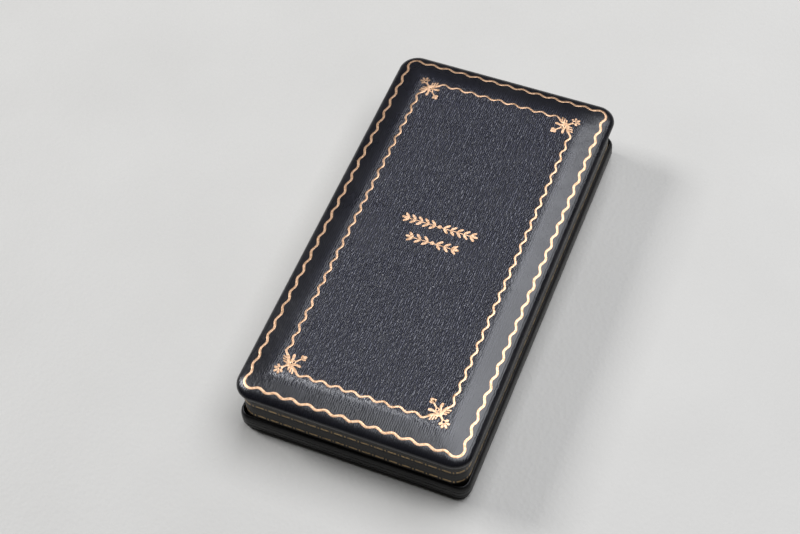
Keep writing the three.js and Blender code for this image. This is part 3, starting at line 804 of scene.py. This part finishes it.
def laurel_rows():
    bm = bmesh.new()
    laurel_row(bm, 5.7 * MM, 12.6 * MM, 5)
    laurel_row(bm, -1.9 * MM, 8.2 * MM, 3)
    lay_on(bm, on_lid)
    return into_piece(bm, "lid_gilt_laurel", LID_GILT)


for gilt in (outer_border(), inner_border(), sprays(), laurel_rows()):
    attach(gilt, "lid")
    print(gilt.name, len(gilt.data.polygons), "faces")

# %% [markdown]
# A second wheel, of dashes and ticks, runs round both walls. The marks are laid out along a
# straight line first, then wrapped round the wall and given the foil's thickness.

# %% Gilt dashes on the walls
DASH_PITCH = 5.0 * MM
WALL_RADIUS = 5.8 * MM


def dashed_line(name, body, height, gap):
    """Marks round a wall at one height, left out along the gap's half length at the hinge."""
    wall = Rim(wall_high.x, wall_high.y, WALL_RADIUS)
    count = round(wall.length() / DASH_PITCH)
    pitch = wall.length() / count
    dash = (0, 3.1 * MM, 0.95 * MM, 4)
    tick = (pitch / 2, 0.45 * MM, 1.2 * MM, 1)
    bm = bmesh.new()
    for i in range(count):
        for offset, length, tall, cuts in (dash, tick):
            middle = wall.walk(i * pitch + offset)[0]
            if middle.x < 0 and abs(middle.y) < gap:
                continue
            place = Matrix.Translation((i * pitch + offset, 0, 0))
            size = Matrix.Diagonal((length / 2, tall / 2, 1, 1))
            bmesh.ops.create_grid(bm, x_segments=cuts, y_segments=1, size=1.0, matrix=place @ size)
    for vert in bm.verts:
        place, out = wall.walk(vert.co.x)
        place = place + out * 0.03 * MM
        vert.co = (place.x, place.y, height + vert.co.y)
    bmesh.ops.recalc_face_normals(bm, faces=bm.faces)
    bmesh.ops.solidify(bm, geom=list(bm.faces), thickness=0.05 * MM)
    piece = into_piece(bm, name, WALL_GILT)
    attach(piece, body)


# The lower line clears the knuckles; the upper one stops short of the hinge at both ends.
dashed_line("base_gilt_dashes", "base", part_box("base_plinth")[1].z + 1.9 * MM, 0)
hinge_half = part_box("base_hinge_leaf")[1].y
dashed_line("lid_gilt_dashes", "lid", wall_low.z + 1.15 * MM, hinge_half + 2.5 * MM)
print("gilt done")

# %% [markdown]
# ## Hinge, frame and springs
# A long leaf hinge runs inside the left wall, riveted through it. The rim frame is a strip of
# rolled brass, and two steel leaf springs snap under the hinge to hold the lid shut or open.
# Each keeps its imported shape, with the sharp edges eased as rolling and tumbling leave them.

# %% Hinge, frame and springs
for node, name, material, soften in (
    ("base_rim_frame", "rim_frame_brass", BRASS, 0.1),
    ("base_hinge_leaf", "base_leaf_brass", BRASS, 0.08),
    ("lid_hinge_leaf", "lid_leaf_brass", BRASS, 0.08),
    ("hinge_pin", "hinge_pin_steel", STEEL, 0.08),
    ("snap_spring_lower", "lower_spring_steel", STEEL, 0.06),
    ("snap_spring_upper", "upper_spring_steel", STEEL, 0.06),
    ("brooch_plate", "brooch_plate_brass", BRASS, 0.1),
    ("brooch_pin_hinge", "brooch_hinge_brass", BRASS, 0.08),
    ("brooch_pin_stem", "brooch_pin_steel", STEEL, 0.05),
    ("brooch_pin_catch", "brooch_catch_brass", BRASS, 0.06),
    ("ribbon_bar_plate", "bar_plate_brass", BRASS, 0.1),
    ("ribbon_bar_pin_hinge", "bar_hinge_brass", BRASS, 0.08),
    ("ribbon_bar_pin_stem", "bar_pin_steel", STEEL, 0.05),
    ("ribbon_bar_pin_catch", "bar_catch_brass", BRASS, 0.06),
    ("lapel_button_post", "button_post_brass", BRASS, 0.06),
    ("lapel_button_nut", "button_nut_brass", BRASS, 0.15),
    ("bed_riser_left", "left_riser_card", CARD, 0.1),
    ("bed_riser_right", "right_riser_card", CARD, 0.1),
    ("lid_lining_frame", "lining_frame_satin", SATIN, 0.25),
):
    refined(node, name, material, soften * MM)

for body in ("base", "lid"):
    for i in (1, 2, 3):
        refined(f"{body}_hinge_rivet_{i}", f"{body}_rivet_{i}_brass", BRASS, 0.12 * MM)
print("hinge, frame and fittings done")

# %% [markdown]
# ## Velvet bed
# The bed is card, cut out for the medal and its bars and covered in one piece of velvet. Pile
# rounds every edge and softens the recess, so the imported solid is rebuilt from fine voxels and
# smoothed.


# %% Velvet bed
def bake_modifiers(piece):
    """Gives a piece the shape that its modifiers make of it, as its own mesh."""
    evaluated = piece.evaluated_get(bpy.context.evaluated_depsgraph_get())
    mesh = bpy.data.meshes.new_from_object(evaluated)
    piece.modifiers.clear()
    old = piece.data
    piece.data = mesh
    bpy.data.meshes.remove(old)


def rebuild_from_voxels(piece, size):
    remesh = piece.modifiers.new("voxels", "REMESH")
    remesh.mode = "VOXEL"
    remesh.voxel_size = size
    bake_modifiers(piece)


def smooth_over(piece, material, passes, split=False):
    """Evens out a piece's points, after splitting each face in four if asked."""
    mesh = piece.data
    bm = bmesh.new()
    bm.from_mesh(mesh)
    if split:
        bmesh.ops.subdivide_edges(bm, edges=bm.edges, cuts=1, use_grid_fill=True, smooth=0.0)
    for _ in range(passes):
        bmesh.ops.smooth_vert(
            bm, verts=bm.verts, factor=0.5, use_axis_x=True, use_axis_y=True, use_axis_z=True
        )
    bm.to_mesh(mesh)
    bm.free()
    mesh.polygons.foreach_set("use_smooth", [True] * len(mesh.polygons))
    mesh.materials.clear()
    mesh.materials.append(material)


bed = into_piece(merged_solid("medal_bed", flatten=False), "velvet_bed", VELVET)
rebuild_from_voxels(bed, 0.7 * MM)
smooth_over(bed, VELVET, 3)
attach(bed, "base")
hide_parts("medal_bed")
print("bed:", len(bed.data.polygons), "faces")

# %% [markdown]
# ## The medal
# The planchet is struck from a bronze blank between two dies, then cut to an octagon. Its star
# has ten facets that meet at the middle, and a wreath of laurel leaves circles it.


# %% Planchet
PLANCHET_THICK = 2.0 * MM
disc_low, disc_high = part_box("medal_planchet")
field = disc_low.z + PLANCHET_THICK
# The eyelet sticks out at the far end, so the octagon's centre is found from its near flat.
half_flats = (disc_high.x - disc_low.x) / 2
star_middle = Vector((disc_low.x + half_flats, disc_low.y + half_flats, field))


def planchet(middle):
    bm = merged_solid("medal_planchet")
    star = [f for f in bm.faces if (f.calc_center_median() - middle).length < 2 * MM]
    top = max(star, key=lambda f: f.calc_center_median().z)
    points = list(top.verts)
    reach = max((v.co - middle).length for v in points)
    bmesh.ops.poke(bm, faces=[top], center_mode="MEAN")
    for vert in points:
        tip = (vert.co - middle).length > 0.8 * reach
        vert.co.z -= (0.4 if tip else 0.42) * MM
    edges = [
        e for e in sharp_edges(bm, 50)
        if all((v.co - middle).length > 1.5 * reach for v in e.verts)
    ]
    soften_edges(bm, edges, 0.12 * MM)
    piece = into_piece(bm, "struck_planchet", TONED_BRONZE, 12)
    # Handling has rubbed the rim and the star back to bright metal.
    piece.data.materials.append(BRONZE)
    for face in piece.data.polygons:
        face.material_index = 1 if face.center.z > field + 0.1 * MM else 0
    return piece


disc = planchet(star_middle)
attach(disc, "base")
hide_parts("medal_planchet")


# %% Wreath and beads
LEAF_PAIRS, LEAF_STEP = 11, 14.2  # on each side, and degrees from one pair to the next
BEADS, BEAD_RING = 64, 15.1 * MM


def wreath(middle):
    def around(angle, radius):
        return middle + Vector((math.cos(angle), math.sin(angle), 0)) * radius

    bm = bmesh.new()
    leaf_size = Matrix.Diagonal((1.4 * MM, 0.55 * MM, 0.42 * MM, 1))
    for side in (-1, 1):
        for i in range(LEAF_PAIRS):
            angle = math.radians(-90 + side * (16 + i * LEAF_STEP))
            for lean, radius in ((0.42, 12.6 * MM), (-0.42, 11.0 * MM)):
                heading = angle + side * (math.pi / 2 - lean)
                place = Matrix.Translation(around(angle, radius))
                turn = place @ Matrix.Rotation(heading, 4, "Z") @ leaf_size
                bmesh.ops.create_uvsphere(bm, u_segments=8, v_segments=5, radius=1.0, matrix=turn)
    for i in range(BEADS):
        place = Matrix.Translation(around(2 * math.pi * i / BEADS, BEAD_RING))
        bmesh.ops.create_icosphere(bm, subdivisions=1, radius=0.38 * MM, matrix=place)
    return into_piece(bm, "medal_wreath", BRONZE, 60)


leaves = wreath(star_middle)
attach(leaves, "base")
refined("suspension_loop", "suspension_loop_bronze", BRONZE, 0.3 * MM)
print("planchet:", len(disc.data.polygons), "faces; wreath:", len(leaves.data.polygons))

# %% [markdown]
# ## Ribbon
# One length of ribbed silk is passed through the loop, brought back over itself and sewn at
# the top round the brooch. It is made as a closed path in side view, carried straight across,
# then given the cloth's thickness.

# %% Ribbon
drape_low, drape_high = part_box("drape_ribbon")
loop_low, loop_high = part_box("suspension_loop")
SILK_THICK = 0.34 * MM


def folded_ribbon():
    half = RIBBON_WIDTH / 2
    wire = 1.6 * MM
    bar = Vector((loop_high.y - wire / 2, (loop_low.z + loop_high.z) / 2))
    turn = 1.42 * MM  # the bend round the loop's wire
    top, under = drape_high.z - SILK_THICK, drape_low.z + 0.05 * MM
    far = drape_high.y - 2.5 * MM  # where the fold at the brooch begins

    # The upper run comes down to the loop, and the silk turns round the wire.
    run = [far - i * (far - bar.x) / 24 for i in range(25)]
    level = bar.y + turn
    side = [(y, level + (top - level) * min(1.0, (y - bar.x) / (6 * MM))) for y in run]
    for i in range(1, 13):
        angle = math.pi / 2 + i / 12 * math.radians(205)
        side.append((bar.x + turn * math.cos(angle), bar.y + turn * math.sin(angle)))

    # The under run goes back below it, and a half turn at the brooch closes the path.
    rise = side[-1]
    for i in range(1, 19):
        y = rise[0] + (far - rise[0]) * i / 18
        lift = min(1.0, (y - rise[0]) / (5 * MM))
        side.append((y, rise[1] + (under - rise[1]) * (3 * lift**2 - 2 * lift**3)))
    middle, radius = (top + under) / 2, (top - under) / 2
    for i in range(1, 8):
        angle = -math.pi / 2 + i / 8 * math.pi
        side.append((far + radius * math.cos(angle), middle + radius * math.sin(angle)))

    bm = bmesh.new()
    start = [bm.verts.new((-half, y, z)) for y, z in side]
    edges = [bm.edges.new((start[i], start[(i + 1) % len(start)])) for i in range(len(start))]
    steps = 20
    for i in range(steps):
        made = bmesh.ops.extrude_edge_only(bm, edges=edges)["geom"]
        edges = [g for g in made if isinstance(g, bmesh.types.BMEdge)]
        moved = [g for g in made if isinstance(g, bmesh.types.BMVert)]
        bmesh.ops.translate(bm, vec=(2 * half / steps, 0, 0), verts=moved)
    # The silk bows a little across its width and waves along it.
    for vert in bm.verts:
        share = vert.co.x / half
        along = vert.co.y / (11 * MM)
        free = min(1.0, max(0.0, (vert.co.y - bar.x) / (8 * MM)))
        vert.co.z += free * 0.1 * MM * (math.cos(share * 1.4) * math.sin(along) - 0.3)
    bmesh.ops.recalc_face_normals(bm, faces=bm.faces)
    bmesh.ops.solidify(bm, geom=list(bm.faces), thickness=SILK_THICK)
    length = sum(math.dist(side[i], side[i - 1]) for i in range(len(side)))
    return into_piece(bm, "silk_drape", SILK, 50), 2 * half, length


drape, wide, long = folded_ribbon()
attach(drape, "base")
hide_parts("drape_ribbon")
print("ribbon: flat", round(wide / MM, 1), "x", round(long / MM, 1), "mm")

# %% [markdown]
# The ribbon bar is the same ribbon stretched over a small brass plate and turned under its long
# edges. The lapel button carries the stripes in hard enamel, ground level and polished.


# %% Ribbon bar and lapel button
def bar_ribbon():
    low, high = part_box("ribbon_bar_cloth")
    middle = (low + high) / 2
    half_x, half_y = (high.x - low.x) / 2, (high.y - low.y) / 2 - SILK_THICK / 2
    top, bend, tuck = high.z - SILK_THICK, 0.3 * MM, 0.55 * MM
    flat = half_y + tuck  # half of the cut, from the middle to the turned edge
    bm = bmesh.new()
    place = Matrix.Translation((middle.x, 0, top)) @ Matrix.Diagonal((half_x, flat, 1, 1))
    bmesh.ops.create_grid(bm, x_segments=24, y_segments=36, size=1.0, matrix=place)
    for vert in bm.verts:
        past = max(0.0, abs(vert.co.y) - (half_y - bend))
        angle = min(past / bend, math.pi / 2)
        out = min(abs(vert.co.y), half_y - bend) + bend * math.sin(angle)
        down = bend * (1 - math.cos(angle)) + max(0.0, past - bend * math.pi / 2)
        vert.co.y = middle.y + signed(out, vert.co.y)
        vert.co.z += 0.03 * MM * math.sin(vert.co.x / (1.9 * MM)) - down
    bmesh.ops.recalc_face_normals(bm, faces=bm.faces)
    bmesh.ops.solidify(bm, geom=list(bm.faces), thickness=SILK_THICK)
    return into_piece(bm, "bar_ribbon_silk", SILK, 50), 2 * half_x, 2 * flat


bar, wide, long = bar_ribbon()
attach(bar, "base")
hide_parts("ribbon_bar_cloth")
refined("lapel_button_face", "button_enamel", ENAMEL, 0.25 * MM)

# %% [markdown]
# ## Satin pad
# The lid's pad is wadding under satin, glued to a card and tucked in along its edge. Air
# pressure in a cloth simulation gives it its crown; it is run ten times life size, where the
# solver is steady, then scaled back. Its flat back stays against the board.

# %% Satin pad
PAD_SCALE = 10.0
PAD_FRAMES = 20
PAD_VOXEL = 1.1 * MM
PAD_SWELL = 1.1 * MM  # the most that any point may move


def satin_pad():
    low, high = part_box("lid_lining_pad")
    middle = (low + high) / 2
    bm = merged_solid("lid_lining_pad", flatten=False)
    shrink = Matrix.Diagonal((0.985, 0.99, 0.7, 1))
    shrink = Matrix.Translation(middle) @ shrink @ Matrix.Translation(-middle)
    enlarge = Matrix.Diagonal((PAD_SCALE, PAD_SCALE, PAD_SCALE, 1))
    bmesh.ops.transform(bm, matrix=enlarge @ shrink, verts=bm.verts)
    pad = into_piece(bm, "satin_pad", SATIN)
    rebuild_from_voxels(pad, PAD_VOXEL * PAD_SCALE)
    before = [v.co.copy() for v in pad.data.vertices]
    cloth = pad.modifiers.new("air", "CLOTH")
    cloth.settings.use_pressure = True
    cloth.settings.uniform_pressure_force = 4.0
    cloth.settings.effector_weights.gravity = 0.0
    cloth.point_cache.frame_start = 1
    cloth.point_cache.frame_end = PAD_FRAMES
    for number in range(1, PAD_FRAMES + 1):
        bpy.context.scene.frame_set(number)
    bake_modifiers(pad)
    bpy.context.scene.frame_set(1)

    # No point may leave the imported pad's own box.
    edge = Vector((0.1 * MM, 0.1 * MM, 0))
    floor, roof = low + edge, high - edge
    floor.z += 0.05 * MM
    roof.z -= 0.02 * MM
    for vert, was in zip(pad.data.vertices, before):
        move = vert.co - was
        if move.length > PAD_SWELL * PAD_SCALE:
            move = move.normalized() * PAD_SWELL * PAD_SCALE
        spot = (was + move) / PAD_SCALE
        vert.co = [min(most, max(least, c)) for least, c, most in zip(floor, spot, roof)]
    smooth_over(pad, SATIN, 1, split=True)
    return pad


pad = satin_pad()
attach(pad, "lid")
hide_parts("lid_lining_pad")
print("satin pad:", len(pad.data.polygons), "faces")

# %% [markdown]
# ## Floor and light
# The case lies on a plain pale surface under one broad, soft window, high up beyond it and to
# the right. The leather shows it as a wide sheen on the right margin and the near one, while
# the far and left margins face the darker room. A small lamp on the left throws the soft shadow
# on the right.


# %% Floor, light and room
def floor_material():
    """A pale hide-grained surface, slightly mottled."""
    material, tree, shader = new_material("pale_table", "#bebcb6", 0.55)
    mottle(tree, shader, (60,), [(0.3, "#bcbab4"), (0.7, "#c0beb8")], Detail=3.0)
    place = add(tree, "ShaderNodeTexCoord").outputs["Object"]
    space = add(tree, "ShaderNodeMapping", {"Vector": place, "Scale": per_mm(1.6)})
    hide = add(tree, "ShaderNodeTexVoronoi", {"Vector": space.outputs["Vector"], "Scale": 1.0})
    relief = add(tree, "ShaderNodeBump", {"Height": hide.outputs["Distance"], "Distance": 0.1 * MM})
    tree.links.new(relief.outputs["Normal"], shader.inputs["Normal"])
    return material


bm = bmesh.new()
bmesh.ops.create_grid(bm, x_segments=1, y_segments=1, size=2.5)
floor = into_piece(bm, "table_top", floor_material())
floor.location.z = -0.2 * MM


def soft_light(name, place, size, power, aim, colour):
    """A rectangular window or lamp: sides in metres, power in watts."""
    data = bpy.data.lights.new(name, "AREA")
    data.shape = "RECTANGLE"
    data.size, data.size_y = size
    data.energy = power
    data.color = colour
    lamp = bpy.data.objects.new(name, data)
    bpy.context.scene.collection.objects.link(lamp)
    lamp.location = place
    way = Vector(aim) - Vector(place)
    lamp.rotation_euler = way.to_track_quat("-Z", "Y").to_euler()


soft_light("high_window", (0.42, 0.58, 1.5), (1.44, 1.55), 36, (0.42, 0.58, 0), (0.92, 0.94, 1))
soft_light("side_lamp", (-1.3, 0.05, 1.1), (0.5, 0.5), 18, (0, 0, 0), (0.95, 0.96, 1))
world = bpy.data.worlds.new("room")
bpy.context.scene.world = world
world.use_nodes = True
room = world.node_tree.nodes["Background"]
room.inputs["Color"].default_value = linear("#f2f3f6")
room.inputs["Strength"].default_value = 0.045
